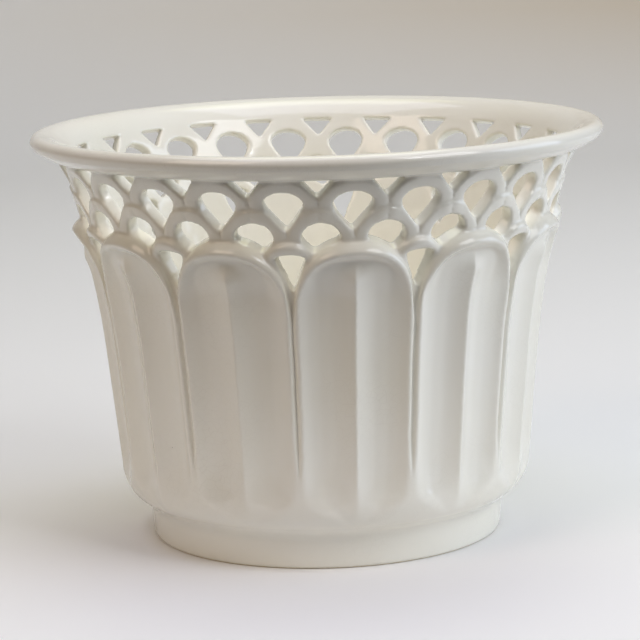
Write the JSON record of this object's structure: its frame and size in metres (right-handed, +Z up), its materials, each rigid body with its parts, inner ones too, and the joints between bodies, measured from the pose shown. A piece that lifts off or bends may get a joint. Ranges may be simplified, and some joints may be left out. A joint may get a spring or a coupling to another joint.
{
  "type": "pierced flower pot",
  "caption": "Round flaring flower pot of cream-glazed earthenware with arch-topped fluted panels, a pierced scale lattice, a turned-out rim and a foot ring.",
  "frame": {"origin": "on the pot's axis, in the plane that the foot ring stands on", "axes": "+Z up along the axis; -Y faces the middle of one panel"},
  "size_m": [0.21, 0.21, 0.1515],
  "materials": {
    "cream_glaze": "glossy cream-white lead glaze on pale earthenware, very fine crazing"
  },
  "bodies": {
    "root": {"foot_ring": "cream_glaze", "floor_disc": "cream_glaze", "fluted_wall": "cream_glaze", "pierced_lattice": "cream_glaze", "turned_rim": "cream_glaze"}
  },
  "joints": []
}
